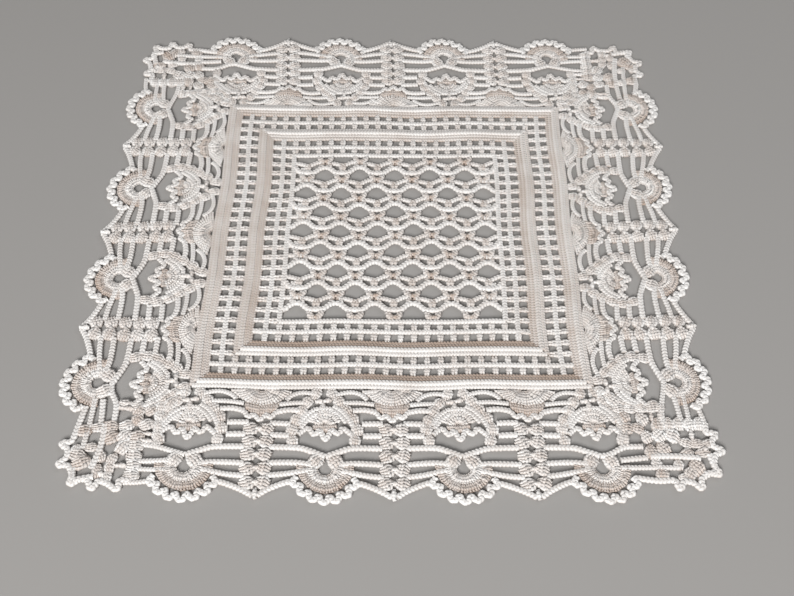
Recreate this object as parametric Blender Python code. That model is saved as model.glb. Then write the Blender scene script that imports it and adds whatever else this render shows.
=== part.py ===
"""Crocheted lace doily, about 0.45 m square, worked in one piece and lying flat.

Run with: blender --background --python part.py

From the middle outwards: an arch net of fans, a frame of square mesh, a ribbed solid band, a
second frame of square mesh, a second ribbed band, and a border of hearts, shells and ladders
with a picot edge. It is one solid: a sheet cut through where the lace is open, with the two
bands' ribs raised on top. The origin is under the middle of the doily, +Z is up.
"""
import math

import bmesh
import bpy

MM = 0.001

# Driving sizes, in millimetres. Along means along a side, out means away from the middle.
THICKNESS = 2.8
RIB_RADIUS = 1.5
RIB_RISE = 0.9
SIDES = 4
MOTIFS_ON_SIDE = 4
MOTIF_PITCH = 90.0

NET_ROWS = 9
NET_ROW_PITCH = 19.2
NET_HOLE_PITCH = 28.3
NET_HOLES_SHORT_ROW = 5
NET_MIDDLE = 1.6
NET_HOLE_WIDTH = 15.0
NET_HOLE_HEIGHT = 13.4
NET_HOLE_DOME_STEPS = 4
NET_HOLE_FOOT = ((-0.3, -0.3), (0.0, -0.42), (0.3, -0.3))
END_ROW_SQUEEZE = 0.62
END_ROW_DROP = 1.5

# The mesh frames are cut at twice the pitch of the crochet, 9.5 mm, in both directions.
FRAME_PITCH = 19.0
FRAME_HOLE = (9.8, 8.8)
INNER_FRAME_OUT = 90.8
OUTER_FRAME_OUT = 119.3

RIBS_OUT = (105.0, 133.0)
RIB_STEPS = 8
RIB_CORNER = 5.0

FAN_CENTRE_OUT = 200.0
FAN_RADIUS = 24.4
FAN_NOTCH_RADIUS = 20.8
FAN_SIDE = (22.8, 208.5)
PICOTS_ON_FAN = 7
PICOT_STEP = math.radians(20.0)
PICOT_HALF_TIP = math.radians(3.6)
LADDER_TIP_OUT = 223.0

# How the doily lies: it is a little skewed and bowed, as a worked piece is. Each row moves a
# point by so many millimetres times the powers of its place, where 1 is SPREAD from the middle.
SPREAD = 200.0
LIE = (
    # power along x, power along y, move in x, move in y
    (0, 0, 8.1, 2.3),
    (1, 0, -3.1, -1.6),
    (0, 1, 2.6, -0.8),
    (1, 1, -3.8, -0.7),
    (2, 0, -2.8, 2.0),
    (0, 2, -0.9, -2.8),
    (2, 1, 1.8, -0.2),
    (1, 2, 4.3, -1.2),
    (3, 0, -0.3, 1.3),
    (0, 3, -3.2, -0.8),
)
WAVE = 0.7
WAVE_LENGTHS = (95.0, 240.0)
WAVE_STARTS = (1.3, 0.4)

# Open places of the border, for one half of a motif: (along from its middle, out) of each corner.
# The chain bars between a motif and its ladder are cut at twice their pitch.
BAR_GAPS = (
    ((11.5, 145.0), (25.5, 145.0), (30.5, 149.0), (32.0, 153.0), (17.5, 153.0)),
    ((22.0, 158.0), (32.5, 158.0), (36.0, 165.0), (36.0, 172.5), (26.0, 172.5), (25.5, 165.0)),
    ((26.0, 178.0), (36.0, 178.0), (36.0, 192.5), (11.0, 192.5), (9.0, 190.0), (22.0, 185.0)),
    ((13.0, 198.5), (36.5, 198.5), (36.5, 212.5), (25.5, 207.0), (18.5, 203.0)),
)
CORNER_BAR_GAPS = (
    ((17.0, 184.5), (33.0, 183.5), (31.0, 191.5), (11.0, 191.5)),
    ((13.0, 196.0), (36.0, 196.5), (38.0, 205.5), (25.5, 205.5), (19.0, 202.0)),
)
HEART = ((17.0, 174.0), (9.5, 176.0), (6.0, 173.5), (0.0, 179.0))
HEART_FOOT = ((17.0, 182.5), (8.0, 186.0), (0.0, 188.5))
EYE = ((0.0, 196.2), (3.7, 199.4), (3.2, 203.0), (0.0, 204.2))

# The corner patch, mirrored about its diagonal: edge points, and the centre and size of each hole.
CORNER_EDGE = (
    (162.0, 209.5), (168.0, 210.5), (173.0, 215.0), (180.0, 211.0), (188.5, 217.0),
    (195.5, 210.0), (203.5, 214.0), (205.5, 205.5),
)
CORNER_HOLES = ((180.5, 205.0, 3.0), (189.0, 189.0, 4.2))


def settled(x, y):
    """The place, in metres, of a point of the even pattern once the doily lies on the table."""
    u, v = x / SPREAD, y / SPREAD
    moved_x, moved_y = x, y
    for power_x, power_y, move_x, move_y in LIE:
        amount = u**power_x * v**power_y
        moved_x += move_x * amount
        moved_y += move_y * amount
    short, long = (2 * math.pi / length for length in WAVE_LENGTHS)
    moved_x += WAVE * math.sin(y * short + WAVE_STARTS[0]) * math.cos(x * long)
    moved_y += WAVE * math.sin(x * short + WAVE_STARTS[1]) * math.cos(y * long)
    return moved_x * MM, moved_y * MM


def on_side(side, along, out):
    """A point of one side: the near side first, then on round to the right."""
    x, y = along, -out
    for _ in range(side):
        x, y = -y, x
    return settled(x, y)


def material(name, colour, roughness):
    made = bpy.data.materials.new(name)
    made.use_nodes = True
    shader = made.node_tree.nodes["Principled BSDF"]
    shader.inputs["Base Color"].default_value = (*colour, 1.0)
    shader.inputs["Roughness"].default_value = roughness
    shader.inputs["Metallic"].default_value = 0.0
    return made


def edge_outline():
    """The picot edge, all round: fans, ladder tips and the corner patches."""
    edge = []
    for side in range(SIDES):
        for motif in range(MOTIFS_ON_SIDE):
            middle = (motif - (MOTIFS_ON_SIDE - 1) / 2) * MOTIF_PITCH
            points = fan_edge()
            if motif < MOTIFS_ON_SIDE - 1:
                points += ((MOTIF_PITCH / 2, LADDER_TIP_OUT),)
            edge += [on_side(side, middle + along, out) for along, out in points]
        edge += [on_side(side, along, out) for along, out in CORNER_EDGE]
        edge += [on_side(side, out, along) for along, out in reversed(CORNER_EDGE[:-1])]
    return edge


def fan_edge():
    """The picots of one fan, from left to right, as (along, out) from the motif's middle."""
    turns = []
    for picot in range(PICOTS_ON_FAN):
        middle = (picot - (PICOTS_ON_FAN - 1) / 2) * PICOT_STEP
        turns += [(middle - PICOT_HALF_TIP, FAN_RADIUS), (middle + PICOT_HALF_TIP, FAN_RADIUS)]
        turns += [(middle + PICOT_STEP / 2, FAN_NOTCH_RADIUS)]
    side_along, side_out = FAN_SIDE
    points = [(-side_along, side_out)]
    for angle, radius in turns[:-1]:
        points.append((radius * math.sin(angle), FAN_CENTRE_OUT + radius * math.cos(angle)))
    points.append((side_along, side_out))
    return tuple(points)


def net_holes():
    """The arches of the middle: domed above, with a shallow point below, in staggered rows."""
    holes = []
    for row in range(NET_ROWS):
        y = NET_MIDDLE + (row - (NET_ROWS - 1) / 2) * NET_ROW_PITCH
        height = NET_HOLE_HEIGHT
        if row == NET_ROWS - 1:
            y -= END_ROW_DROP
            height *= END_ROW_SQUEEZE
        count = NET_HOLES_SHORT_ROW + (row % 2 == 0)
        for hole in range(count):
            x = (hole - (count - 1) / 2) * NET_HOLE_PITCH
            shape = []
            for step in range(NET_HOLE_DOME_STEPS + 1):
                angle = math.pi * step / NET_HOLE_DOME_STEPS
                shape.append((math.cos(angle) / 2, math.sin(angle) / 2))
            shape += NET_HOLE_FOOT
            holes.append([settled(x + NET_HOLE_WIDTH * a, y + height * b) for a, b in shape])
    return holes


def frame_holes(out):
    """One ring of square mesh holes round the doily, and a hole at each of its corners."""
    on_one_side = round(2 * out / FRAME_PITCH)
    pitch = 2 * out / on_one_side
    half_along, half_out = FRAME_HOLE[0] / 2, FRAME_HOLE[1] / 2
    holes = []
    for side in range(SIDES):
        for cell in range(on_one_side):
            along = -out + pitch * cell
            square = ((-1, -1), (1, -1), (1, 1), (-1, 1))
            corners = ((along + half_along * a, out + half_out * b) for a, b in square)
            holes.append([on_side(side, *corner) for corner in corners])
    return holes


def border_holes():
    """The open places between the motifs and ladders, the hearts and the eyes of the fans."""
    holes = []
    for side in range(SIDES):
        for motif in range(MOTIFS_ON_SIDE):
            middle = (motif - (MOTIFS_ON_SIDE - 1) / 2) * MOTIF_PITCH
            for half in (-1, 1):
                by_corner = motif == (0 if half < 0 else MOTIFS_ON_SIDE - 1)
                for gap in CORNER_BAR_GAPS if by_corner else BAR_GAPS:
                    holes.append([on_side(side, middle + half * a, out) for a, out in gap])
            top = [(-a, out) for a, out in HEART] + [(a, out) for a, out in HEART[-2::-1]]
            foot = list(HEART_FOOT) + [(-a, out) for a, out in HEART_FOOT[-2::-1]]
            holes.append([on_side(side, middle + a, out) for a, out in top + foot])
            eye = list(EYE) + [(-a, out) for a, out in EYE[-2:0:-1]]
            holes.append([on_side(side, middle + a, out) for a, out in eye])
        for along, out, half in CORNER_HOLES:
            places = {(along, out), (out, along)}
            for a, b in sorted(places):
                diamond = ((a - half, b), (a, b - half), (a + half, b), (a, b + half))
                holes.append([on_side(side, *point) for point in diamond])
    return holes


def flat_curve(name, outlines, thickness):
    """A sheet of this thickness, in millimetres, about z = 0, with its holes cut through."""
    curve = bpy.data.curves.new(name, "CURVE")
    curve.dimensions = "2D"
    curve.fill_mode = "BOTH"
    curve.extrude = thickness * MM / 2
    for outline in outlines:
        spline = curve.splines.new("POLY")
        spline.points.add(len(outline) - 1)
        for point, (x, y) in zip(spline.points, outline):
            point.co = (x, y, 0.0, 1.0)
        spline.use_cyclic_u = True
    return bpy.data.objects.new(name, curve)


def rib_path(out):
    """The middle line of a raised rib: a square with rounded corners that follows the lie."""
    points = []
    straight = out - RIB_CORNER
    for side in range(SIDES):
        for step in range(RIB_STEPS + 1):
            along = straight * (2 * step / RIB_STEPS - 1)
            points.append(on_side(side, along, out))
        turn = math.pi / 4
        along = straight + RIB_CORNER * math.sin(turn)
        points.append(on_side(side, along, straight + RIB_CORNER * math.cos(turn)))
    return points


def rib_curve(name, out):
    curve = bpy.data.curves.new(name, "CURVE")
    curve.dimensions = "3D"
    curve.bevel_depth = RIB_RADIUS * MM
    curve.bevel_resolution = 1
    spline = curve.splines.new("POLY")
    path = rib_path(out)
    spline.points.add(len(path) - 1)
    height = (THICKNESS + RIB_RISE - RIB_RADIUS) * MM
    for point, (x, y) in zip(spline.points, path):
        point.co = (x, y, height, 1.0)
    spline.use_cyclic_u = True
    return bpy.data.objects.new(name, curve)


def as_mesh(curve_object, collection):
    """The curve's solid as a mesh object with its caps joined to its walls."""
    bpy.context.scene.collection.objects.link(curve_object)
    bpy.context.view_layer.update()
    graph = bpy.context.evaluated_depsgraph_get()
    mesh = bpy.data.meshes.new_from_object(curve_object.evaluated_get(graph))
    made = bpy.data.objects.new(curve_object.name, mesh)
    made.matrix_world = curve_object.matrix_world
    bpy.data.objects.remove(curve_object)
    made.name = mesh.name
    work = bmesh.new()
    work.from_mesh(mesh)
    bmesh.ops.remove_doubles(work, verts=work.verts, dist=0.00001)
    bmesh.ops.recalc_face_normals(work, faces=work.faces)
    work.to_mesh(mesh)
    work.free()
    collection.objects.link(made)
    return made


def main():
    for old in list(bpy.data.objects):
        bpy.data.objects.remove(old)
    scene = bpy.context.scene
    doily_parts = bpy.data.collections.new("Lace doily")
    shapes_joined = bpy.data.collections.new("Ribs joined to it")
    for collection in (doily_parts, shapes_joined):
        scene.collection.children.link(collection)

    outlines = [edge_outline()] + net_holes() + border_holes()
    outlines += frame_holes(INNER_FRAME_OUT) + frame_holes(OUTER_FRAME_OUT)
    sheet = flat_curve("doily", outlines, THICKNESS)
    sheet.location.z = THICKNESS * MM / 2
    doily = as_mesh(sheet, doily_parts)
    doily.data.materials.append(material("ivory_cotton", (0.80, 0.74, 0.66), 0.7))

    for number, out in enumerate(RIBS_OUT):
        rib = as_mesh(rib_curve(f"rib_{number}", out), shapes_joined)
        rib.hide_render = True
        rib.display_type = "WIRE"
        join = doily.modifiers.new(f"Rib {number}", "BOOLEAN")
        join.operation = "UNION"
        join.solver = "EXACT"
        join.object = rib
    print("gaps", len(outlines) - 1)


main()
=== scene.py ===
"""The crocheted lace doily as it lies on a table: every chain and stitch of cotton yarn.

Worked from the middle outwards, so the file runs the same way: the arch net, the two mesh
frames with their ribbed bands, then the border of arches, fans and ladders round the four sides,
with a patch of shells at each corner.
"""

import math
import random

import bpy
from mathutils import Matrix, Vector


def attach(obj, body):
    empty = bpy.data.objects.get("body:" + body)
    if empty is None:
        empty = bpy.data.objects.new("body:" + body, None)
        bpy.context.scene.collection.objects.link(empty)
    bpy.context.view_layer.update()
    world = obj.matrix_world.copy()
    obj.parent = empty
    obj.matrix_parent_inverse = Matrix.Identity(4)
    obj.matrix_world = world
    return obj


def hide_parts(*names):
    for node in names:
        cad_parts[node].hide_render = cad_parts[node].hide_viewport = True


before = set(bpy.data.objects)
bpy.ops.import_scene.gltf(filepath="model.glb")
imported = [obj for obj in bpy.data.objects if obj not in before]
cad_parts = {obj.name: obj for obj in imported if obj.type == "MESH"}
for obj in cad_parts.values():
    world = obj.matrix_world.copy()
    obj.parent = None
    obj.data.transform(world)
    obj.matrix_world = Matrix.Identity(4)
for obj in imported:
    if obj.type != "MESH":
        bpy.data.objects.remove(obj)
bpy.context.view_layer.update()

# ---------------------------------------------------------------------------------------------
# The arch net in the middle. Real piece: rows of chain arches, each standing on a pair of tall
# stitches worked into one place, in ivory mercerised cotton. Each row hangs on the row before.
# ---------------------------------------------------------------------------------------------
MM = 0.001
SPREAD = 200.0
LIE = (
    # power along x, power along y, move in x, move in y (millimetres, 1 is SPREAD from the middle)
    (0, 0, 8.1, 2.3),
    (1, 0, -3.1, -1.6),
    (0, 1, 2.6, -0.8),
    (1, 1, -3.8, -0.7),
    (2, 0, -2.8, 2.0),
    (0, 2, -0.9, -2.8),
    (2, 1, 1.8, -0.2),
    (1, 2, 4.3, -1.2),
    (3, 0, -0.3, 1.3),
    (0, 3, -3.2, -0.8),
)
WAVE = 0.7
WAVE_LENGTHS = (95.0, 240.0)
WAVE_STARTS = (1.3, 0.4)
RISE = 0.35
RISE_LENGTHS = (61.0, 83.0)


def settled(x, y, z):
    """The place, in metres, of a point of the even pattern once the doily lies on the table."""
    u, v = x / SPREAD, y / SPREAD
    moved_x, moved_y = x, y
    for power_x, power_y, move_x, move_y in LIE:
        amount = u**power_x * v**power_y
        moved_x += move_x * amount
        moved_y += move_y * amount
    short, long = (2 * math.pi / length for length in WAVE_LENGTHS)
    moved_x += WAVE * math.sin(y * short + WAVE_STARTS[0]) * math.cos(x * long)
    moved_y += WAVE * math.sin(x * short + WAVE_STARTS[1]) * math.cos(y * long)
    swell = math.sin(x * 2 * math.pi / RISE_LENGTHS[0] + y * 2 * math.pi / RISE_LENGTHS[1])
    return moved_x * MM, moved_y * MM, (z + RISE * (1 + swell)) * MM


def between(line, share):
    """The point at this share of a line's length."""
    lengths = [math.dist(a, b) for a, b in zip(line, line[1:])]
    left = share * sum(lengths)
    for (a, b), length in zip(zip(line, line[1:]), lengths):
        if left <= length:
            return tuple(p + (q - p) * (left / length) for p, q in zip(a, b))
        left -= length
    return tuple(line[-1])


def rounded(line, steps=4):
    """The line again with its turns rounded, through the same points."""
    ends = [tuple(2 * a - b for a, b in zip(line[0], line[1]))]
    ends += list(line)
    ends += [tuple(2 * a - b for a, b in zip(line[-1], line[-2]))]
    smooth = []
    for before, start, stop, after in zip(ends, ends[1:], ends[2:], ends[3:]):
        for step in range(steps):
            t = step / steps
            smooth.append(tuple(
                0.5 * (2 * b + (c - a) * t + (2 * a - 5 * b + 4 * c - d) * t * t
                       + (3 * b - a - 3 * c + d) * t**3)
                for a, b, c, d in zip(before, start, stop, after)))
    return smooth + [tuple(line[-1])]


# How far handwork is off: places in millimetres, a shell's turn in radians, shades.
STITCH_OFF = 0.16
SHELL_OFF = 0.2
SHELL_TURN_OFF = 0.10
STRAND_OFF = 0.08
STRAND_REACH_OFF = 0.06
SHADE_OFF = 0.08

# How high each kind of work lies, and how far a stitch swells upwards between foot and head.
CHAIN_HEIGHT = 1.7
STITCH_HEIGHT = 1.45
STITCH_SWELL = 0.2
HEAD_HIGHER = 0.3
ROW_HEIGHT = 1.4
ROW_CROWN = 0.09
# The swell at a row's ends, and how much more there is in its middle.
ROW_SWELL = (0.105, 0.195)
# A row's stitches are this much wider than their share of it, within the least and most width.
ROW_PLUMP = 1.65
ROW_WIDTHS = (1.9, 3.9)

SHELL_STRANDS = 4
SHELL_HEIGHT = 1.35
SHELL_CROWN = 0.5
SHELL_PLUMP = 1.5
SHELL_ROUND = 0.22
SHELL_CAPS = 1.0
SHELL_STEPS = (-1.0, -0.55, 0.0, 0.55, 1.0)
# How far a shell's strands draw together at its foot and at its head, and how suddenly.
SHELL_DRAWN = (0.55, 0.28)
SHELL_DRAWN_POWER = 2.2
# Painted shade across a shell: its middle strands tan, its edge strands painted lighter.
SHELL_MIDDLE_SHADE = 0.16
SHELL_EDGE_SHADE = -0.30


class YarnPaths:
    """The paths that one piece's yarn follows, in millimetres of the even pattern.

    A chain runs along its line. A tall stitch runs from its foot to its head. A width of 1 is a
    plain chain's, and a tall stitch's is in millimetres. Shade 0 is white and 1 is tan."""

    CHAIN, TALL = 0, 1

    def __init__(self, name, seed):
        self.name = name
        self.chance = random.Random(seed)
        self.points, self.edges = [], []
        # shade holds painted shade: tan where a strand is shaded, sunk or thin, and below 0 a
        # painted highlight.
        self.kind, self.width, self.shade, self.swell = [], [], [], []
        self.turn = lambda along, out: (along, out)

    def add(self, line, kind, widths, shades, swell=0.0):
        first = len(self.points)
        for number, (along, out, height) in enumerate(line):
            share = number / (len(line) - 1)
            x, y = self.turn(along, out)
            self.points.append(settled(x, y, height))
            self.kind.append(kind)
            self.swell.append(swell)
            self.width.append(widths[0] + (widths[1] - widths[0]) * share)
            self.shade.append(shades[0] + (shades[1] - shades[0]) * share)
            if number:
                self.edges.append((first + number - 1, first + number))

    def chain(self, line, width=1.0, shade=0.0, height=CHAIN_HEIGHT, round_it=True):
        path = rounded(line) if round_it and len(line) > 2 else line
        self.add([(*point, height) for point in path], self.CHAIN, (width, width), (shade, shade))

    def stitch(self, foot, head, widths, shades=(0.2, 0.1), height=STITCH_HEIGHT,
               swell=STITCH_SWELL):
        """One tall stitch, a little off its true place as handwork is."""
        off = [self.chance.gauss(0, STITCH_OFF) for _ in range(5)]
        line = [
            (foot[0] + off[0], foot[1] + off[1], height + off[4]),
            (head[0] + off[2], head[1] + off[3], height + HEAD_HIGHER + off[4]),
        ]
        dull = self.chance.uniform(-SHADE_OFF, SHADE_OFF)
        self.add(line, self.TALL, widths, [shade + dull for shade in shades], swell)

    def row(self, feet, heads, count, shades):
        """Tall stitches side by side, spread evenly from the line of feet to the line of heads."""
        spans = []
        for line in (feet, heads):
            length = sum(math.dist(a, b) for a, b in zip(line, line[1:]))
            spans.append(min(max(ROW_PLUMP * length / count, ROW_WIDTHS[0]), ROW_WIDTHS[1]))
        for number in range(count):
            share = (number + 0.5) / count
            crown = math.sin(math.pi * share)
            self.stitch(between(feet, share), between(heads, share), spans, shades,
                        ROW_HEIGHT + ROW_CROWN * crown, ROW_SWELL[0] + ROW_SWELL[1] * crown)

    def shell(self, centre, length, breadth, degrees, shade=0.12):
        """A shell: tall stitches worked into one place, a round pad. 0 degrees points along."""
        angle = math.radians(degrees) + self.chance.gauss(0, SHELL_TURN_OFF)
        along, out = (place + self.chance.gauss(0, SHELL_OFF) for place in centre)
        wide = SHELL_PLUMP * breadth / (SHELL_STRANDS + 0.5)
        for number in range(SHELL_STRANDS):
            side = (number + 0.5) / SHELL_STRANDS * 2 - 1
            bulge = side * (breadth - wide) / 2 * SHELL_STRANDS / (SHELL_STRANDS - 1)
            reach = (length - SHELL_CAPS) / 2 * (1.0 - SHELL_ROUND * side * side)
            reach *= self.chance.uniform(1 - STRAND_REACH_OFF, 1 + STRAND_REACH_OFF)
            line = []
            for step in SHELL_STEPS:
                forward = step * reach
                drawn_in = SHELL_DRAWN[0 if step < 0 else 1] * abs(step) ** SHELL_DRAWN_POWER
                beside = bulge * (1.0 - drawn_in) + self.chance.gauss(0, STRAND_OFF)
                line.append((
                    along + forward * math.cos(angle) - beside * math.sin(angle),
                    out + forward * math.sin(angle) + beside * math.cos(angle),
                    SHELL_HEIGHT + SHELL_CROWN * (1.0 - side * side) * (1.0 - step * step)))
            # Painted shade: tan in the shell's middle strands, whiter at its edges, with a random
            # tone on top.
            dull = (shade + SHELL_MIDDLE_SHADE + SHELL_EDGE_SHADE * abs(side)
                    + self.chance.uniform(-SHADE_OFF, SHADE_OFF))
            self.add(line, self.TALL, (wide, wide), (dull, dull), STITCH_SWELL)

    def lines_as_mesh(self):
        mesh = bpy.data.meshes.new(self.name)
        mesh.from_pydata(self.points, self.edges, [])
        for name, values in (("kind", self.kind), ("width", self.width), ("shade", self.shade),
                             ("swell", self.swell)):
            layer = mesh.attributes.new(name, "FLOAT", "POINT")
            layer.data.foreach_set("value", [float(value) for value in values])
        return bpy.data.objects.new(self.name, mesh)


def fed(tree, node, *sources):
    """Joins each source to the node's next input, or sets that input to it."""
    for socket, source in zip(node.inputs, sources):
        if isinstance(source, bpy.types.NodeSocket):
            tree.links.new(source, socket)
        else:
            socket.default_value = source
    return node.outputs[0]


def worked(tree, operation, *sources):
    """One sum in a tree of nodes."""
    node = tree.nodes.new("ShaderNodeMath")
    node.operation = operation
    return fed(tree, node, *sources)


FULL_TURN = 2 * math.pi
# The tan is the colour of painted shade, and of the thin patches.
WHITE_COTTON = (0.93, 0.922, 0.912, 1.0)
PAINTED_SHADE_AND_PATCH_TAN = (0.50, 0.39, 0.32, 1.0)
# How much tan each brings: painted shade for lying low, a thin patch, painted shade in the gap
# between strands and between plies.
LOW_PAINTED_SHADE = 0.45
PATCH_TINT = 0.22
STRAND_GROOVE_PAINTED_SHADE = 0.20
PLY_GROOVE_PAINTED_SHADE = 0.12
LOW_HEIGHTS = (0.0004, 0.0026)
PATCH_RANGE = (0.4, 0.75)
# Scale and detail of the noise, then strength and depth of each bump.
PATCH_NOISE = (55.0, 3.0)
FIBRE_NOISE = (1500.0, 2.0)
FIBRE_BUMP = (0.35, 0.0002)
PLY_BUMP = (1.0, 0.0003)
YARN_ROUGHNESS = 0.58
YARN_SHEEN = 0.12
# How far the Vs of a chain lean back from its middle to its edges, where a link is a full turn.
VEE_LEAN = 2.6


def cotton_material():
    """Ivory mercerised cotton: white where the yarn lies dense, tan painted shade where it is thin
    or sunk.
    """
    made = bpy.data.materials.new("ivory cotton yarn")
    made.use_nodes = True
    tree = made.node_tree
    nodes, links = tree.nodes, tree.links
    shader = nodes["Principled BSDF"]
    place = nodes.new("ShaderNodeTexCoord").outputs["Object"]

    def kept(name):
        node = nodes.new("ShaderNodeAttribute")
        node.attribute_name = name
        return node.outputs["Fac"]

    def ranged(value, lowest, highest, at_lowest, at_highest):
        return fed(tree, nodes.new("ShaderNodeMapRange"), value, lowest, highest, at_lowest,
                   at_highest)

    def speckled(scale, detail):
        node = nodes.new("ShaderNodeTexNoise")
        node.inputs["Scale"].default_value = scale
        node.inputs["Detail"].default_value = detail
        links.new(place, node.inputs["Vector"])
        return node.outputs["Fac"]

    def bumped(height, strength, depth, sunk=False, over=None):
        node = nodes.new("ShaderNodeBump")
        node.inputs["Strength"].default_value = strength
        node.inputs["Distance"].default_value = depth
        node.invert = sunk
        links.new(height, node.inputs["Height"])
        if over:
            links.new(over, node.inputs["Normal"])
        return node.outputs["Normal"]

    # The plies wind round a stitch, and lie as a row of Vs along a chain.
    along, across, upward = kept("along"), kept("across"), kept("upward")
    turned = worked(tree, "MULTIPLY", along, FULL_TURN)
    wound = worked(tree, "SUBTRACT",
                   worked(tree, "MULTIPLY", worked(tree, "COSINE", turned), across),
                   worked(tree, "MULTIPLY", worked(tree, "SINE", turned), upward))
    vees = worked(tree, "COSINE", worked(
        tree, "MULTIPLY_ADD", worked(tree, "ABSOLUTE", across), VEE_LEAN, turned))
    is_tall = worked(tree, "GREATER_THAN", kept("kind"), YarnPaths.CHAIN + 0.5)
    ply = fed(tree, nodes.new("ShaderNodeMix"), is_tall)
    links.new(vees, ply.node.inputs["A"])
    links.new(wound, ply.node.inputs["B"])
    between_plies = worked(tree, "POWER", worked(tree, "MULTIPLY_ADD", ply, 0.5, 0.5), 2.0)

    # What makes the yarn look tan: its painted shade, painted shade in its grooves and where it
    # lies low, and thin patches.
    height = nodes.new("ShaderNodeSeparateXYZ")
    links.new(place, height.inputs[0])
    low = ranged(height.outputs["Z"], *LOW_HEIGHTS, LOW_PAINTED_SHADE, 0.0)
    thin = ranged(speckled(*PATCH_NOISE), *PATCH_RANGE, 0.0, PATCH_TINT)
    between_strands = worked(tree, "MULTIPLY_ADD", kept("groove"), STRAND_GROOVE_PAINTED_SHADE, kept("shade"))
    grooves = worked(tree, "MULTIPLY_ADD", between_plies, PLY_GROOVE_PAINTED_SHADE, between_strands)
    tan = worked(tree, "ADD", worked(tree, "ADD", grooves, low), thin)
    tan.node.use_clamp = True
    colour = nodes.new("ShaderNodeMix")
    colour.data_type = "RGBA"
    links.new(tan, colour.inputs["Factor"])
    colour.inputs["A"].default_value = WHITE_COTTON
    colour.inputs["B"].default_value = PAINTED_SHADE_AND_PATCH_TAN
    links.new(colour.outputs["Result"], shader.inputs["Base Color"])

    fibres = bumped(speckled(*FIBRE_NOISE), *FIBRE_BUMP)
    links.new(bumped(between_plies, *PLY_BUMP, sunk=True, over=fibres), shader.inputs["Normal"])
    shader.inputs["Roughness"].default_value = YARN_ROUGHNESS
    shader.inputs["Sheen Weight"].default_value = YARN_SHEEN
    return made


YARN_SIZES = {
    "Link length": 2.3 * MM,
    "Link width": 4.0 * MM,
    "Ply length": 2.1 * MM,
    "Unevenness": 0.06,
    "Turns in a stitch": 0.5,
    "Table gap": 0.05 * MM,
}
# The outline swept along a path: corners, width at the odd ones, height at the even, at the odd.
CHAIN_SECTION = (8, 0.80, 0.46, 0.86)
STITCH_SECTION = (6, 0.70, 1.05, 0.74)
STEPS_IN_LINK = 3.0
RINGS_IN_STITCH = 5
# Shares of the width: what a chain loses where two links meet, a stitch's ends, its fuller middle.
LINK_PINCH = -0.08
STITCH_END = 0.78
STITCH_BELLY = 0.30


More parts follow.
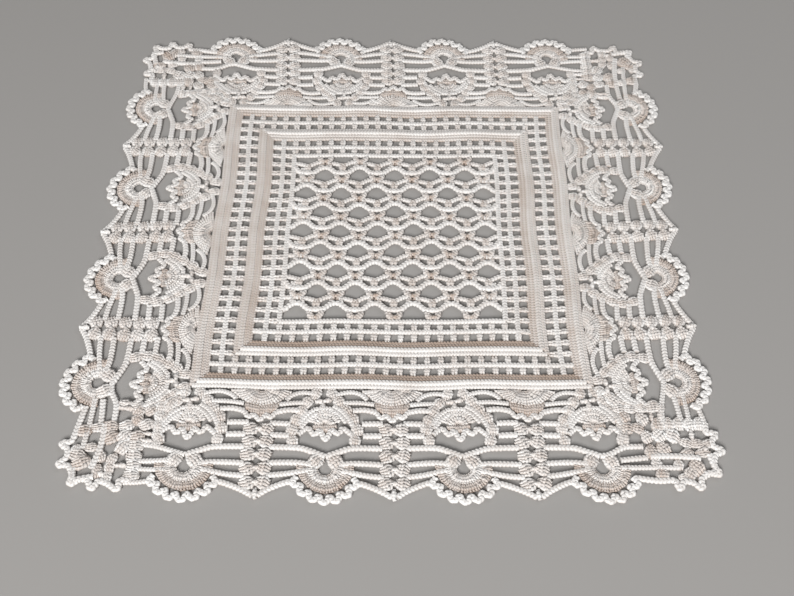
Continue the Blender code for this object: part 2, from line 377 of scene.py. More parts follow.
def crochet_tree():
    """Sweeps a pair of plies along each chain, and a twisted strand along each tall stitch."""
    tree = bpy.data.node_groups.new("crochet stitches", "GeometryNodeTree")
    face = tree.interface
    face.new_socket("Lines", in_out="INPUT", socket_type="NodeSocketGeometry")
    for name, value in YARN_SIZES.items():
        face.new_socket(name, in_out="INPUT", socket_type="NodeSocketFloat").default_value = value
    face.new_socket("Seed", in_out="INPUT", socket_type="NodeSocketInt")
    face.new_socket("Yarn", in_out="INPUT", socket_type="NodeSocketMaterial")
    face.new_socket("Stitches", in_out="OUTPUT", socket_type="NodeSocketGeometry")
    nodes, links = tree.nodes, tree.links
    given = nodes.new("NodeGroupInput").outputs
    result = nodes.new("NodeGroupOutput")

    def node(kind, *settings, **joined):
        made = nodes.new(kind)
        for name, value in settings:
            setattr(made, name, value)
        for name, source in joined.items():
            socket = made.inputs[name.replace("_", " ")]
            if isinstance(source, bpy.types.NodeSocket):
                links.new(source, socket)
            else:
                socket.default_value = source
        return made

    def at(x=0.0, y=0.0, z=0.0):
        return fed(tree, nodes.new("ShaderNodeCombineXYZ"), x, y, z)

    def stored(name):
        made = nodes.new("GeometryNodeInputNamedAttribute")
        made.data_type = "FLOAT"
        made.inputs["Name"].default_value = name
        return made.outputs["Attribute"]

    number = nodes.new("GeometryNodeInputIndex").outputs[0]

    def kept(shape, **values):
        """Keeps values on a shape's points, for the sweep and for the yarn's colour."""
        for name, value in values.items():
            made = node("GeometryNodeStoreNamedAttribute", ("data_type", "FLOAT"),
                        ("domain", "POINT"), Geometry=shape, Name=name)
            links.new(value, made.inputs["Value"])
            shape = made.outputs[0]
        return shape

    def section(corners, wide_odd, high_even, high_odd):
        """The outline that is swept along a path: its odd corners stand out as plies."""
        circle = node("GeometryNodeCurvePrimitiveCircle", Resolution=corners, Radius=1.0)
        turn = worked(tree, "MULTIPLY", number, FULL_TURN / corners)
        odd = worked(tree, "MODULO", number, 2.0)
        across, upward = worked(tree, "COSINE", turn), worked(tree, "SINE", turn)
        # groove marks the sunk corners of the outline, where the yarn's material paints shade.
        groove = worked(tree, "SUBTRACT", 1.0, odd) if high_odd > high_even else odd
        wide = worked(tree, "MULTIPLY", across,
                      worked(tree, "MULTIPLY_ADD", odd, wide_odd - 1.0, 1.0))
        high = worked(tree, "MULTIPLY", upward,
                      worked(tree, "MULTIPLY_ADD", odd, high_odd - high_even, high_even))
        shaped = node("GeometryNodeSetPosition", Geometry=kept(
            circle.outputs["Curve"], across=across, upward=upward, groove=groove))
        links.new(at(wide, high), shaped.inputs["Position"])
        return shaped.outputs[0]

    def swept(curves, outline, half_wide):
        made = node("GeometryNodeCurveToMesh", Curve=curves, Fill_Caps=True)
        links.new(outline, made.inputs["Profile Curve"])
        links.new(half_wide, made.inputs["Scale"])
        return made.outputs[0]

    def level(curves):
        return node("GeometryNodeSetCurveNormal", ("mode", "Z_UP"), Curve=curves).outputs[0]

    spline = nodes.new("GeometryNodeSplineParameter").outputs
    spread = node("FunctionNodeRandomValue", ("data_type", "FLOAT"))
    links.new(worked(tree, "SUBTRACT", 1.0, given["Unevenness"]), spread.inputs[2])
    links.new(worked(tree, "ADD", 1.0, given["Unevenness"]), spread.inputs[3])
    links.new(given["Seed"], spread.inputs["Seed"])

    # A chain: two plies side by side, plump in the middle of each link and thin where two meet.
    parted = node("GeometryNodeSeparateGeometry", Geometry=given["Lines"])
    links.new(worked(tree, "GREATER_THAN", stored("kind"), YarnPaths.CHAIN + 0.5),
              parted.inputs["Selection"])
    chains = node("GeometryNodeMeshToCurve", Mesh=parted.outputs["Inverted"])
    step = worked(tree, "MULTIPLY", given["Link length"],
                  worked(tree, "DIVIDE", stored("width"), STEPS_IN_LINK))
    steps = node("GeometryNodeResampleCurve", ("mode", "LENGTH"), Curve=chains.outputs[0],
                 Length=step)
    in_links = worked(tree, "DIVIDE", spline["Index"], STEPS_IN_LINK)
    marked = kept(steps.outputs[0], along=in_links)
    pinch = worked(tree, "COSINE", worked(tree, "MULTIPLY_ADD", in_links, FULL_TURN, VEE_LEAN))
    plump = worked(tree, "MULTIPLY", spread.outputs[1],
                   worked(tree, "MULTIPLY_ADD", pinch, LINK_PINCH, 1.0))
    half_chain = worked(tree, "MULTIPLY", worked(tree, "MULTIPLY", given["Link width"], 0.5),
                        worked(tree, "MULTIPLY", stored("width"), plump))
    laid = swept(level(marked), section(*CHAIN_SECTION), half_chain)

    # A tall stitch: strands laid round each other, full in the middle, thin at the ends.
    upright = node("GeometryNodeMeshToCurve", Mesh=parted.outputs["Selection"])
    cut = node("GeometryNodeResampleCurve", ("mode", "COUNT"), Curve=upright.outputs[0],
               Count=RINGS_IN_STITCH)
    belly = worked(tree, "SINE", worked(tree, "MULTIPLY", spline["Factor"], math.pi))
    in_plies = worked(tree, "DIVIDE", spline["Length"], given["Ply length"])
    arched = node("GeometryNodeSetPosition", Geometry=kept(cut.outputs[0], along=in_plies))
    links.new(at(z=worked(tree, "MULTIPLY", worked(tree, "MULTIPLY", stored("swell"), MM), belly)),
              arched.inputs["Offset"])
    twisted = node("GeometryNodeSetCurveTilt", Curve=level(arched.outputs[0]))
    turns = worked(tree, "MULTIPLY", spline["Factor"], given["Turns in a stitch"])
    links.new(worked(tree, "MULTIPLY", turns, FULL_TURN), twisted.inputs["Tilt"])
    half_stitch = worked(tree, "MULTIPLY", worked(tree, "MULTIPLY", stored("width"), 0.5 * MM),
                         worked(tree, "MULTIPLY_ADD", belly, STITCH_BELLY, STITCH_END))
    stitches = swept(twisted.outputs[0], section(*STITCH_SECTION), half_stitch)

    both = nodes.new("GeometryNodeJoinGeometry")
    for made in (stitches, laid):
        links.new(made, both.inputs[0])
    real = node("GeometryNodeRealizeInstances", Geometry=both.outputs[0])
    # The table flattens the yarn that touches it.
    place = nodes.new("ShaderNodeSeparateXYZ")
    links.new(nodes.new("GeometryNodeInputPosition").outputs[0], place.inputs[0])
    clear = worked(tree, "MAXIMUM", place.outputs["Z"], given["Table gap"])
    pressed = node("GeometryNodeSetPosition", Geometry=real.outputs[0])
    links.new(at(place.outputs["X"], place.outputs["Y"], clear), pressed.inputs["Position"])
    soft = node("GeometryNodeSetShadeSmooth", Geometry=pressed.outputs[0])
    coloured = node("GeometryNodeSetMaterial", Geometry=soft.outputs[0], Material=given["Yarn"])
    links.new(coloured.outputs[0], result.inputs[0])
    return tree


cotton = cotton_material()
stitches = crochet_tree()


def crocheted(paths, seed):
    """The yarn laid along the paths, as a plain mesh object that rides on the doily."""
    lines = paths.lines_as_mesh()
    bpy.context.scene.collection.objects.link(lines)
    work = lines.modifiers.new("stitches", "NODES")
    work.node_group = stitches
    given = {**YARN_SIZES, "Seed": seed, "Yarn": cotton}
    for socket in stitches.interface.items_tree:
        if socket.name in given:
            work[socket.identifier] = given[socket.name]
    bpy.context.view_layer.update()
    graph = bpy.context.evaluated_depsgraph_get()
    mesh = bpy.data.meshes.new_from_object(lines.evaluated_get(graph))
    bpy.data.objects.remove(lines)
    mesh.name = paths.name
    piece = bpy.data.objects.new(paths.name, mesh)
    bpy.context.scene.collection.objects.link(piece)
    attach(piece, "root")
    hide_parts("doily")
    return piece


NET_ROWS = 9
NET_ROW_PITCH = 19.2
NET_PITCH = 28.3
NET_SHORT_ROW = 5
NET_MIDDLE = 1.6
NET_EDGE = 80.5
NET_EDGE_OVER = 4.0
NET_SEED = 3
# From the middle of a wall between two holes: along, up. The second arch line goes the other way.
NET_ARCH = ((0.0, 3.5), (3.8, 3.6), (6.4, 4.6), (8.6, 6.9), (11.0, 8.7), (14.15, 9.6))
NET_ARCH_WIDTH = 1.18
NET_ARCH_HEIGHT = 2.0
NET_POSTS = (
    # foot: along, up, head: along, up, width and painted shade at the foot and at the head
    (1.2, -6.2, 3.4, 1.6, (4.0, 3.6), (0.55, 0.15)),
    (3.0, -5.2, 5.6, 1.8, (3.6, 4.4), (0.35, 0.05)),
)
# The stitches over a wall's foot and up to its head, and those by which it holds the arch below.
NET_KNOT = ((-4.2, -2.8, 4.2, -2.8, (3.8, 3.8), (0.6, 0.6)),)
NET_KNOT_HEIGHT = 1.2
NET_HOLD = (
    (-2.9, -10.2, -3.0, -5.2, (4.0, 4.0), (0.1, 0.3)),
    (4.3, -10.6, 4.4, -5.0, (4.0, 4.0), (0.1, 0.3)),
)
NET_STEM = (
    (-1.4, 4.0, -1.0, 12.6, (3.4, 4.2), (0.15, 0.4)),
    (1.6, 4.0, 1.4, 12.6, (3.4, 4.2), (0.15, 0.4)),
)
NET_ARMS = (
    ((-12.0, 13.6), (-8.6, 13.8), (-4.6, 12.9), (0.2, 11.2)),
    ((0.8, 11.0), (4.0, 12.9), (7.4, 14.8), (12.0, 15.4)),
)
NET_ARM_WIDTH = 1.02
NET_ARM_SHADE = 0.05
# Between a short row's last wall and the frame: an upright strip of small cells.
NET_END_STRIP = ((74.6, -8.6), (74.6, 8.6))
NET_END_RUNGS = (-4.6, 4.8)
NET_END_RUNG_FROM = 70.0
NET_END_WIDTH = 1.05
NET_END_SHADE = 0.1

net = YarnPaths("arch_net", NET_SEED)


def inside(line):
    """The part of a line that lies within the mesh frame."""
    return [(min(max(along, -NET_EDGE), NET_EDGE), up) for along, up in line
            if abs(along) < NET_EDGE + NET_EDGE_OVER]


def net_stitches(wall, y, stitches_on_wall, sides=(1,), height=STITCH_HEIGHT):
    """The tall stitches of a wall, from its middle at this height of the net."""
    for foot, low, head, high, widths, shades in stitches_on_wall:
        for side in sides:
            net.stitch((wall + side * foot, y + low), (wall + side * head, y + high), widths,
                       shades, height)


for row in range(NET_ROWS):
    y = NET_MIDDLE + (row - (NET_ROWS - 1) / 2) * NET_ROW_PITCH
    last = row == NET_ROWS - 1
    count = NET_SHORT_ROW + (row % 2 == 0)
    for number in range(count + 1):
        wall = (number - count / 2) * NET_PITCH
        for side in (-1, 1):
            arch = inside([(wall + side * along, y + up) for along, up in NET_ARCH])
            if len(arch) > 1 and not last:
                net.chain(arch, NET_ARCH_WIDTH, height=NET_ARCH_HEIGHT)
        if abs(wall) > NET_EDGE:
            continue
        net_stitches(wall, y, NET_POSTS, sides=(-1, 1))
        net_stitches(wall, y, NET_KNOT, height=NET_KNOT_HEIGHT)
        if row:
            net_stitches(wall, y, NET_HOLD)
        if last:
            continue
        net_stitches(wall, y, NET_STEM)
        for arm_line in NET_ARMS:
            lacet = inside([(wall + along, y + up) for along, up in arm_line])
            if len(lacet) > 1:
                net.chain(lacet, NET_ARM_WIDTH, NET_ARM_SHADE)
    if count == NET_SHORT_ROW and not last:
        for side in (-1, 1):
            net.chain([(side * along, y + up) for along, up in NET_END_STRIP], NET_END_WIDTH)
            for up in NET_END_RUNGS:
                net.chain([(side * NET_END_RUNG_FROM, y + up), (side * NET_EDGE, y + up)],
                          NET_END_WIDTH, NET_END_SHADE)
arch_net = crocheted(net, NET_SEED)

# ---------------------------------------------------------------------------------------------
# The two mesh frames and their ribbed bands. Real piece: two rounds of square mesh, then four
# tight rounds with one standing up as a rib, and the same again, worked straight on outwards.
# ---------------------------------------------------------------------------------------------
SIDES = 4
MESH_PITCH = 9.55
MESH_ROUNDS = ((82.0, 90.8), (90.8, 99.6), (111.2, 119.3), (119.3, 127.6))
# A mesh upright is two tall stitches, each this far beside its middle.
MESH_BESIDE = 1.0
MESH_WIDTHS = (3.1, 3.2)
MESH_SHADES = (0.15, 0.05)
MESH_CHAINS = (
    # out, how far each end runs on past its corner
    (82.0, 0.0), (90.8, 8.4), (119.3, 8.0),
)
MESH_CHAIN_WIDTH = 1.08
MESH_CHAIN_HEIGHT = 1.8
BAND_ROUNDS = (
    # out, height, width, painted shade on the near, right, far and left sides, as the light falls
    # on each side's rib
    (100.8, 1.5, 1.0, (0.85, 0.45, 0.30, 0.45)),
    (103.6, 2.0, 1.0, (0.75, 0.40, 0.20, 0.45)),
    (106.6, 2.9, 1.1, (0.0, 0.20, 0.0, 0.30)),
    (109.8, 2.0, 1.0, (0.05, 0.25, 0.05, 0.35)),
    (128.6, 1.5, 1.0, (0.80, 0.40, 0.45, 0.35)),
    (131.2, 2.0, 1.0, (0.75, 0.35, 0.35, 0.35)),
    (134.2, 2.9, 1.1, (0.0, 0.15, 0.0, 0.25)),
    (137.2, 2.0, 1.0, (0.05, 0.20, 0.05, 0.30)),
)
FRAMES = (
    # name, seed, from how far out to how far
    ("inner_frame", 5, 80.0, 111.0),
    ("outer_frame", 6, 111.0, 140.0),
)


def side_turn(side):
    """Turns a place along and out on one side into x and y: near first, then round to the right."""
    def turn(along, out):
        x, y = along, -out
        for _ in range(side):
            x, y = -y, x
        return x, y
    return turn


def spread_out(end, steps=8):
    """Places from one end of a line to the other, evenly, so that it can lie in a curve."""
    return [end * step / steps for step in range(-steps, steps + 1)]


for name, seed, start, stop in FRAMES:
    frame_work = YarnPaths(name, seed)
    for side in range(SIDES):
        frame_work.turn = side_turn(side)
        for inner, outer in MESH_ROUNDS:
            if not start < inner < stop:
                continue
            beyond = round(inner / MESH_PITCH)
            for number in range(-beyond, beyond):
                middle = (number + 0.5) * MESH_PITCH
                for beside in (-MESH_BESIDE, MESH_BESIDE):
                    frame_work.stitch((middle + beside, inner), (middle + beside, outer),
                                      MESH_WIDTHS, MESH_SHADES)
        for out, past in MESH_CHAINS:
            if start < out < stop:
                frame_work.chain([(along, out) for along in spread_out(out + past)],
                                 MESH_CHAIN_WIDTH, height=MESH_CHAIN_HEIGHT, round_it=False)
        for out, height, width, shades in BAND_ROUNDS:
            if start < out < stop:
                frame_work.chain([(along, out) for along in spread_out(out)], width, shades[side],
                                 height, round_it=False)
    crocheted(frame_work, seed)

# ---------------------------------------------------------------------------------------------
# The border. Real piece: on each side four arches with a leaf inside and a picot fan outside,
# tied by bars of plain chain to ladders of shells that stand on a triangle of tall stitches.
# ---------------------------------------------------------------------------------------------
MOTIFS_ON_SIDE = 4
MOTIF_PITCH = 90.0
# How far each motif and each ladder of a side sits off its even place: along, out.
WANDER = (
    ((1.0, -0.4), (1.3, -0.6), (0.0, 0.4), (-0.7, 0.0), (-1.0, 0.0), (1.1, -0.6), (1.3, 0.2)),
    ((0.0, -0.3), (1.0, -1.0), (0.0, 0.7), (0.5, 0.1), (0.0, 0.4), (0.0, 0.0), (0.0, 0.0)),
    ((-1.0, 0.5), (0.0, -0.4), (0.0, 1.0), (0.3, -0.3), (-0.4, 0.5), (0.0, -0.8), (0.0, 0.0)),
    ((1.0, -0.4), (-0.5, 0.1), (0.0, 2.0), (-0.5, 1.9), (-0.5, 2.0), (-0.7, -0.6), (0.7, -0.6)),
)
# The band holds the border: it wanders from this far out, in full this much further out, and the
# wander ends this many half pitches from the side's middle.
WANDER_FROM = 138.0
WANDER_OVER = 14.0
WANDER_END = 4.6


def wandered(side):
    """A side's turn, with each motif and ladder where handwork left it."""
    even = side_turn(side)
    last = len(WANDER[side]) - 1

    def turn(along, out):
        at = along / (MOTIF_PITCH / 2) + last / 2
        first = min(max(math.floor(at), 0), last - 1)
        share = min(max(at - first, 0.0), 1.0)
        full = min(max((out - WANDER_FROM) / WANDER_OVER, 0.0), 1.0)
        full *= min(max(WANDER_END - abs(at - last / 2), 0.0), 1.0)
        moves = [a + (b - a) * share for a, b in zip(WANDER[side][first], WANDER[side][first + 1])]
        return even(along + moves[0] * full, out + moves[1] * full)
    return turn


def placed(middle, line):
    """A line that is charted from a motif's middle, at its place on the side."""
    return [(middle + along, out) for along, out in line]


ARM = (
    # shells of the left half: along, out, the right half: along, out, length, breadth, direction
    (-7.2, 142.6, 3.4, 142.8, 10.6, 8.6, 100),
    (-12.6, 149.4, 8.6, 149.0, 10.0, 8.8, 120),
    (-16.8, 156.0, 13.2, 155.4, 10.0, 9.0, 122),
    (-20.6, 163.0, 18.0, 162.2, 10.0, 9.2, 115),
    (-23.0, 170.6, 20.8, 170.4, 10.0, 9.2, 100),
    (-21.8, 179.0, 19.4, 179.0, 10.2, 8.8, 80),
)
ARM_CHAINS = (
    ((-9.0, 156.0), (-14.2, 160.2), (-18.6, 167.4)),
    ((-7.0, 158.6), (-12.2, 162.6), (-17.4, 169.8)),
    ((4.6, 152.6), (10.0, 156.4), (15.0, 162.4), (18.0, 168.4)),
    ((3.6, 155.6), (8.6, 159.4), (13.6, 165.4)),
    ((-8.8, 155.4), (-2.6, 154.5), (4.4, 154.9)),
)
ARM_CHAIN_WIDTH = 0.92
ARM_TIES = (
    ((-8.2, 148.8), (-2.6, 149.0)),
    ((-2.6, 148.8), (3.2, 147.8)),
    ((-2.6, 149.0), (-2.4, 156.6)),
)
ARM_TIE_WIDTHS = (4.3, 4.3)
ARM_TIE_SHADES = (0.0, 0.15)
TIE_HEIGHT = 1.6
EDGING_HEIGHT = 1.9
# Beside a corner an arch is narrower, and its shells by half as much.
NARROW = 0.84


def arm(paths, middle, half, narrow):
    """Half of an arch: shells one on the other."""
    for left_along, left_out, right_along, right_out, length, breadth, degrees in ARM:
        if half < 0:
            centre, way = (middle + left_along * narrow, left_out), degrees
        else:
            centre, way = (middle + right_along * narrow, right_out), 180 - degrees
        paths.shell(centre, length, breadth * (0.5 + 0.5 * narrow), way)


BARS = (
    # width, then the places along and out
    (0.90, ((6.0, 144.0), (12.0, 142.2), (18.0, 141.8), (24.0, 143.8), (28.0, 147.6))),
    (0.90, ((12.0, 150.0), (22.0, 149.8), (33.0, 151.0))),
    (1.10, ((18.0, 156.0), (26.0, 155.4), (34.0, 157.0))),
    (1.10, ((24.0, 166.3), (31.0, 166.0), (38.0, 166.0))),
    (1.16, ((24.5, 175.4), (31.0, 175.2), (37.0, 175.2))),
    (1.16, ((0.0, 190.6), (9.5, 187.0), (16.0, 184.9), (24.0, 184.5), (37.0, 184.7))),
    (1.10, ((9.0, 196.6), (18.0, 195.8), (28.0, 196.2), (37.5, 197.0))),
    (1.06, ((11.0, 201.2), (20.0, 203.3), (28.0, 205.0), (38.0, 206.3))),
    (1.10, ((18.5, 209.6), (25.0, 211.0), (36.0, 216.0), (43.5, 220.8))),
)
END_BARS = (
    # a side's last motif, towards its right end
    (1.10, ((6.0, 142.5), (12.0, 142.3))),
    (1.10, ((0.0, 190.6), (6.4, 189.8), (16.7, 184.9), (29.8, 184.2))),
    (1.10, ((13.1, 194.1), (22.0, 193.2), (31.2, 192.5))),
    (1.00, ((12.6, 199.5), (34.0, 199.8), (52.0, 200.6))),
)
START_BARS = (
    # a side's first motif, towards its left end
    (1.10, ((-6.0, 142.5), (-12.0, 142.3))),
    (1.00, ((0.0, 190.6), (-7.8, 188.5), (-20.0, 185.0), (-32.5, 183.4))),
    (1.00, ((-7.8, 194.8), (-18.0, 196.0), (-29.7, 196.4))),
    (0.90, ((-7.9, 202.2), (-18.0, 202.4), (-29.8, 202.1))),
    (0.95, ((-17.1, 209.9), (-27.0, 211.8), (-36.2, 212.3))),
)
LEAF_CENTRE = (-1.0, 167.0)
LEAF_ROUNDS = (
    # radius of feet, radius of heads, reach each way in degrees, stitches, painted shades
    (1.4, 6.6, 86, 9, (0.3, 0.0)),
    (6.0, 11.2, 78, 15, (0.15, 0.0)),
)
LEAF_FOOT = (
    ((-8.6, 166.0), (-1.0, 166.4), (6.4, 165.8)),
    ((-8.8, 170.2), (-5.0, 171.0), (0.0, 172.6), (3.0, 170.6), (7.4, 169.4)),
)
LEAF_FOOT_STITCHES = 11
LEAF_FOOT_SHADES = (0.35, 0.45)
LEAF_EDGE = (
    (-18.4, 174.4), (-14.6, 170.8), (-11.8, 169.8), (-10.4, 171.6), (-8.6, 174.2), (-6.6, 173.8),
    (-5.2, 171.6), (-3.6, 172.0), (-2.4, 174.6), (-1.2, 177.6), (0.4, 177.8), (1.8, 174.8),
    (3.4, 171.0), (5.2, 172.0), (7.2, 173.8), (9.4, 172.6), (11.2, 169.8), (17.6, 175.2),
)
FAN_CENTRE = (0.0, 199.8)
FAN_ROUNDS = (
    # radius of feet, radius of heads, reach each way in degrees, stitches, painted shades
    (4.6, 11.2, 120, 26, (0.1, 0.0)),
    (10.4, 17.2, 98, 31, (0.25, 0.5)),
)
# The ends of a fan's rounds flare out by this much.
FAN_FLARE = 1.6
FAN_PICOTS = (-60, -40, -20, 0, 20, 40, 60)
PICOT_TURN = (
    # degrees from the picot's middle, radius
    (-10.0, 19.6), (-6.4, 21.6), (-3.2, 23.7), (3.2, 23.7), (6.4, 21.6),
)
PICOT_WIDTH = 1.12
# A shade below 0 is a painted highlight.
PICOT_SHADE = -0.1
FAN_SHOULDERS = ((-6.4, 194.4, 13.0, 11.0, 125), (6.0, 194.4, 13.0, 11.0, 55))


def swung(centre, radius, degrees):
    """The place at this radius, this far round from straight out."""
    angle = math.radians(degrees)
    return centre[0] + radius * math.sin(angle), centre[1] + radius * math.cos(angle)


def motif(paths, middle, corner_halves):
    """An arch with its leaf, the fan outside it and the bars on both sides."""
    for half in (-1, 1):
        by_corner = half in corner_halves
        arm(paths, middle, half, NARROW if by_corner else 1.0)
        bars = [(width, [(half * along, out) for along, out in bar]) for width, bar in BARS]
        if by_corner:
            bars = END_BARS if half > 0 else START_BARS
        for width, bar in bars:
            paths.chain(placed(middle, bar), width)
    for along, out, length, breadth, degrees in FAN_SHOULDERS:
        paths.shell((middle + along, out), length, breadth, degrees)
    for line in ARM_CHAINS:
        paths.chain(placed(middle, line), ARM_CHAIN_WIDTH, height=EDGING_HEIGHT)
    for tie in ARM_TIES:
        paths.stitch(*placed(middle, tie), ARM_TIE_WIDTHS, ARM_TIE_SHADES, TIE_HEIGHT)
    for foot_radius, head_radius, reach, count, shades in LEAF_ROUNDS:
        feet, heads = (
            [(middle + LEAF_CENTRE[0] + radius * math.sin(math.radians(degrees)),
              LEAF_CENTRE[1] - radius * math.cos(math.radians(degrees)))
             for degrees in spread_out(reach)]
            for radius in (foot_radius, head_radius))
        paths.row(feet, heads, count, shades)
    paths.row(*(placed(middle, line) for line in LEAF_FOOT), LEAF_FOOT_STITCHES, LEAF_FOOT_SHADES)
    paths.chain(placed(middle, LEAF_EDGE), height=EDGING_HEIGHT)

    centre = (middle + FAN_CENTRE[0], FAN_CENTRE[1])
    for foot_radius, head_radius, reach, count, shades in FAN_ROUNDS:
        turns = spread_out(reach)
        feet = [swung(centre, foot_radius, degrees) for degrees in turns]
        heads = [swung(centre, head_radius + FAN_FLARE * abs(degrees / reach) ** 3, degrees)
                 for degrees in turns]
        paths.row(feet, heads, count, shades)
    scallops = [swung(centre, radius, degrees + off)
                for degrees in FAN_PICOTS for off, radius in PICOT_TURN]
    scallops.append(swung(centre, PICOT_TURN[0][1], FAN_PICOTS[-1] - PICOT_TURN[0][0]))
    paths.chain(scallops, PICOT_WIDTH, PICOT_SHADE, EDGING_HEIGHT)


LADDER_STEPS = (166.4, 176.2, 186.0, 196.4, 206.8)
LADDER_SHELL = (5.1, 4.7, 10.8, 10.8, 16)
LADDER_TIE = ((-2.6, 4.0), (2.6, 4.6))
LADDER_TIE_WIDTHS = (3.8, 3.8)
LADDER_TIE_SHADES = (0.05, 0.2)
LADDER_TIP = ((0.0, 216.0), (0.0, 223.0))
LADDER_TIP_WIDTHS = (5.0, 4.4)
LADDER_TIP_SHADES = (0.0, -0.1)
LADDER_TIP_HEIGHT = 1.8
TRIANGLE_ROWS = (
    # feet, heads, stitches, painted shades
    (((-3.6, 138.8), (-1.8, 140.2), (0.0, 140.8), (1.8, 140.2), (3.6, 138.8)),
     ((-21.5, 140.6), (-16.0, 145.4), (-10.0, 150.2), (0.0, 152.6), (10.0, 150.2), (16.0, 145.4),
      (21.5, 140.6)), 22, (0.22, 0.05)),
    (((-12.0, 150.0), (0.0, 151.8), (12.0, 150.0)),
     ((-10.0, 156.0), (-4.0, 159.6), (0.0, 161.2), (4.0, 159.6), (10.0, 156.0)), 13, (0.35, 0.5)),
)
TRIANGLE_EDGE = (
    (-14.0, 156.4), (-10.6, 158.2), (-9.0, 160.8), (-6.8, 161.6), (-5.2, 159.8), (-3.0, 161.2),
    (-1.2, 163.6), (0.6, 163.4), (2.6, 160.8), (4.4, 159.4), (5.8, 161.4), (7.8, 161.0),
    (9.4, 158.4), (12.0, 156.4),
)
TRIANGLE_EDGE_WIDTH = 0.95


def ladder(paths, middle):
    """A ladder of shells: at each step one shell to the left and one to the right."""
    along, up, length, breadth, degrees = LADDER_SHELL
    for out in LADDER_STEPS:
        for half in (-1, 1):
            paths.shell((middle + half * along, out + up), length, breadth,
                        degrees if half > 0 else 180 - degrees)
        foot, head = ((middle + tie_along, out + tie_up) for tie_along, tie_up in LADDER_TIE)
        paths.stitch(foot, head, LADDER_TIE_WIDTHS, LADDER_TIE_SHADES, TIE_HEIGHT)
    paths.stitch(*placed(middle, LADDER_TIP), LADDER_TIP_WIDTHS, LADDER_TIP_SHADES,
                 LADDER_TIP_HEIGHT)
    for feet, heads, count, shades in TRIANGLE_ROWS:
        paths.row(placed(middle, feet), placed(middle, heads), count, shades)
    paths.chain(placed(middle, TRIANGLE_EDGE), TRIANGLE_EDGE_WIDTH, height=EDGING_HEIGHT)


# At each corner a patch of shells joins two sides, with five picots round its edge.
CORNER_SHELLS = (
    # along, out, length, breadth, direction in degrees, painted shade
    (150.4, 149.2, 9.4, 8.6, 45, 0.10), (152.6, 155.4, 8.6, 7.0, 0, 0.05),
    (160.4, 155.4, 9.0, 6.8, 0, 0.0), (168.2, 155.2, 9.0, 6.8, 0, 0.0),
    (175.8, 155.0, 9.0, 6.8, 0, 0.0), (182.4, 155.4, 7.6, 6.8, 0, 0.0),
    (155.8, 162.2, 8.4, 7.6, 60, 0.30), (168.0, 163.6, 9.4, 8.4, 60, 0.05),
    (156.8, 170.0, 8.6, 8.0, 20, 0.35), (164.2, 170.4, 8.6, 7.6, 20, 0.35),
    (169.2, 177.0, 9.0, 8.2, 70, 0.05), (170.0, 188.0, 9.4, 8.6, 90, 0.35),
    (171.6, 196.6, 8.6, 7.0, 90, 0.0), (174.0, 205.2, 9.4, 8.8, 90, 0.35),
    (178.0, 168.6, 9.4, 8.6, 90, 0.30), (185.6, 168.6, 9.4, 8.6, 90, 0.10),
    (193.0, 168.6, 9.4, 8.4, 90, 0.0), (200.6, 168.6, 9.4, 8.4, 90, -0.05),
    (208.0, 168.6, 9.4, 8.0, 90, -0.05),
    (177.6, 176.9, 9.6, 9.0, 45, 0.0), (187.0, 176.9, 10.0, 9.4, 30, 0.0),
    (178.8, 186.0, 9.6, 9.0, 60, 0.35), (195.5, 182.8, 8.8, 6.6, 20, 0.10),
    (202.6, 183.6, 9.4, 6.4, 0, 0.15), (210.0, 184.0, 9.4, 6.4, 0, 0.10),
    (194.0, 190.2, 8.8, 6.6, 160, 0.15), (205.2, 190.4, 9.6, 6.6, 0, 0.25),
    (186.8, 198.2, 7.6, 6.8, 90, 0.10), (198.8, 201.4, 10.8, 10.0, 60, 0.40),
    (193.2, 205.4, 9.6, 8.4, 120, 0.25), (188.4, 207.6, 7.4, 5.4, 10, 0.05),
)
# A corner's shells are worked fuller than charted, so that they touch.
SHELL_FULL = 1.18
CORNER_POSTS = (
    # foot: along, out, head: along, out, width, painted shade
    (200.8, 172.4, 200.6, 181.0, 4.4, 0.10), (151.8, 172.0, 151.0, 184.0, 4.4, 0.15),
    (155.4, 173.0, 154.8, 184.0, 4.4, 0.25), (175.4, 158.0, 175.2, 165.6, 3.4, 0.20),
    (181.6, 157.0, 181.2, 165.6, 4.4, 0.10), (207.6, 186.0, 207.2, 189.6, 4.4, 0.10),
)
CORNER_CHAINS = (
    ((168.5, 191.8), (182.0, 191.8), (194.0, 193.0), (203.0, 194.8)),
    ((209.4, 192.0), (210.2, 197.0), (211.8, 203.6)),
    ((203.0, 206.0), (208.0, 205.6), (213.0, 204.6)),
)
CORNER_CHAIN_WIDTH = 1.2
CORNER_EDGE_ENDS = ((154.9, 206.8), (169.8, 209.4), (211.6, 173.2), (212.2, 169.0))
CORNER_EDGE_WIDTH = 1.16
CORNER_TIPS = (
    # the five picots of the near right, far right, far left and near left corners: along, out
    ((183.6, 215.6), (199.0, 216.0), (213.4, 206.6), (219.0, 189.9), (217.4, 176.9)),
    ((177.5, 216.0), (193.1, 216.8), (207.9, 209.4), (214.7, 195.9), (214.6, 177.6)),
    ((176.8, 215.1), (191.8, 216.2), (206.4, 211.8), (215.3, 195.6), (213.4, 177.4)),
    ((182.7, 214.4), (198.4, 213.0), (212.6, 202.6), (216.3, 188.9), (216.9, 173.6)),
)
TIP_LENGTH = 5.4
TIP_HALF = 3.3
# The edge round one picot: how far to its side, how far back from its tip, as shares.
TIP_TURN = ((1, 1.0), (0.34, 0.1), (-0.34, 0.1), (-1, 1.0))
CORNER_MIDDLE = (188.0, 188.0)
# How far the patch of each corner has moved: along, out.
CORNER_MOVES = ((0.0, 0.0), (-4.0, 0.8), (-3.8, -1.8), (-1.6, -2.7))
# Where along and out add up to this the patch starts to move, in full this much further out.
MOVE_FROM = 310.0
MOVE_OVER = 60.0


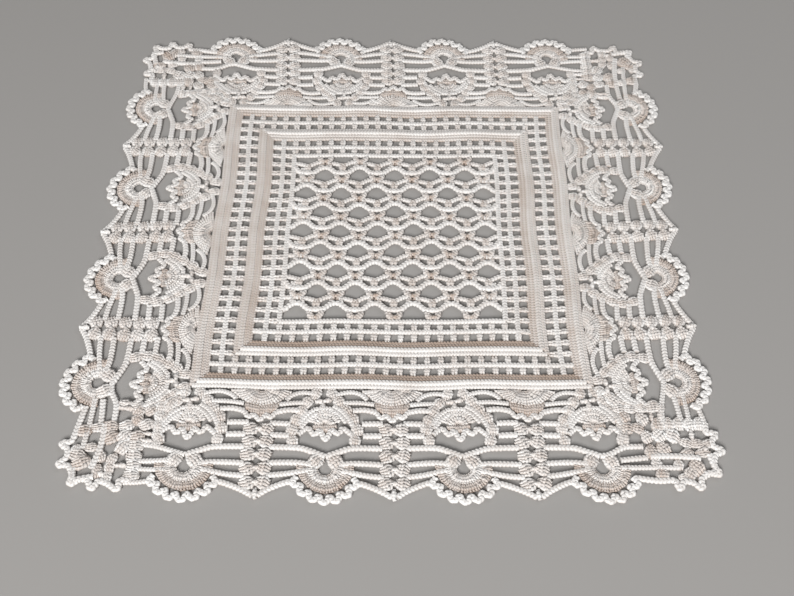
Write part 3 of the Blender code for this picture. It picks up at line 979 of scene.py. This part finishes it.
def corner(paths, move, tips):
    """The patch of shells that fills the corner at a side's right end."""
    def moved(along, out):
        share = min(max((along + out - MOVE_FROM) / MOVE_OVER, 0.0), 1.0)
        return along + move[0] * share, out + move[1] * share

    for along, out, length, breadth, degrees, shade in CORNER_SHELLS:
        paths.shell(moved(along, out), SHELL_FULL * length, SHELL_FULL * breadth, degrees, shade)
    for foot_along, foot_out, head_along, head_out, width, shade in CORNER_POSTS:
        paths.stitch(moved(foot_along, foot_out), moved(head_along, head_out), (width, width),
                     (shade, shade))
    for line in CORNER_CHAINS:
        paths.chain([moved(*point) for point in line], CORNER_CHAIN_WIDTH)
    edge = [moved(*point) for point in CORNER_EDGE_ENDS[:2]]
    for along, out in tips:
        away = math.atan2(out - CORNER_MIDDLE[1], along - CORNER_MIDDLE[0])
        for side, back in TIP_TURN:
            inwards, sideways = TIP_LENGTH * back, TIP_HALF * side
            edge.append((along - inwards * math.cos(away) - sideways * math.sin(away),
                         out - inwards * math.sin(away) + sideways * math.cos(away)))
    edge += [moved(*point) for point in CORNER_EDGE_ENDS[2:]]
    paths.chain(edge, CORNER_EDGE_WIDTH)


BORDER_SEED = 20

for side, name in enumerate(("near_border", "right_border", "far_border", "left_border")):
    border = YarnPaths(name, BORDER_SEED + side)
    border.turn = wandered(side)
    for number in range(MOTIFS_ON_SIDE):
        middle = (number - (MOTIFS_ON_SIDE - 1) / 2) * MOTIF_PITCH
        corner_halves = {0: (-1,), MOTIFS_ON_SIDE - 1: (1,)}.get(number, ())
        motif(border, middle, corner_halves)
        if number < MOTIFS_ON_SIDE - 1:
            ladder(border, middle + MOTIF_PITCH / 2)
    corner(border, CORNER_MOVES[side], CORNER_TIPS[side])
    crocheted(border, BORDER_SEED + side)

# ---------------------------------------------------------------------------------------------
# The table top that it lies on, the soft window-like light and the camera of the photograph.
# The whole doily is one sheet of crochet, so its other pieces lie on the table with the net.
# ---------------------------------------------------------------------------------------------
scene = bpy.context.scene
FLOOR_HALF = 6.0
FLOOR_COLOUR = (0.37, 0.36, 0.35, 1.0)
FLOOR_ROUGHNESS = 0.6
floor_mesh = bpy.data.meshes.new("floor")
floor_corners = [(-1, -1), (1, -1), (1, 1), (-1, 1)]
floor_mesh.from_pydata([(x * FLOOR_HALF, y * FLOOR_HALF, 0) for x, y in floor_corners], [],
                       [(0, 1, 2, 3)])
floor = bpy.data.objects.new("floor", floor_mesh)
scene.collection.objects.link(floor)
floor_look = bpy.data.materials.new("pale floor")
floor_look.use_nodes = True
floor_shader = floor_look.node_tree.nodes["Principled BSDF"]
floor_shader.inputs["Base Color"].default_value = FLOOR_COLOUR
floor_shader.inputs["Roughness"].default_value = FLOOR_ROUGHNESS
floor_mesh.materials.append(floor_look)

ROOM_COLOUR = (1.0, 0.985, 0.975, 1.0)
ROOM_STRENGTH = 0.17
world = bpy.data.worlds.new("soft studio")
world.use_nodes = True
room_light = world.node_tree.nodes["Background"]
room_light.inputs["Color"].default_value = ROOM_COLOUR
room_light.inputs["Strength"].default_value = ROOM_STRENGTH
scene.world = world

SOFT_LIGHTS = (
    # name, place, size, power, colour
    ("key", (-0.60, -2.70, 2.10), 1.2, 128.0, (1.0, 0.99, 0.975)),
    ("fill", (1.6, 1.6, 2.6), 2.4, 18.0, (0.97, 0.98, 1.0)),
)
for name, place, size, power, colour in SOFT_LIGHTS:
    lamp = bpy.data.lights.new(name, "AREA")
    lamp.size = size
    lamp.energy = power
    lamp.color = colour
    held = bpy.data.objects.new(name, lamp)
    held.location = place
    held.rotation_euler = (-Vector(place)).to_track_quat("-Z", "Y").to_euler()
    scene.collection.objects.link(held)

CAMERA_PLACE = (0.0075, -0.5666, 0.6893)
CAMERA_DOWN = 0.93409
CAMERA_RIGHT = 0.004358
CAMERA_SENSOR = 36.0
CAMERA_LENS = 53.0
camera = bpy.data.cameras.new("camera")
camera.sensor_width = CAMERA_SENSOR
camera.lens = CAMERA_LENS
viewer = bpy.data.objects.new("camera", camera)
viewer.location = CAMERA_PLACE
viewer.rotation_euler = (math.pi / 2 - CAMERA_DOWN, 0.0, -CAMERA_RIGHT)
scene.collection.objects.link(viewer)
scene.camera = viewer
scene.view_settings.view_transform = "Standard"
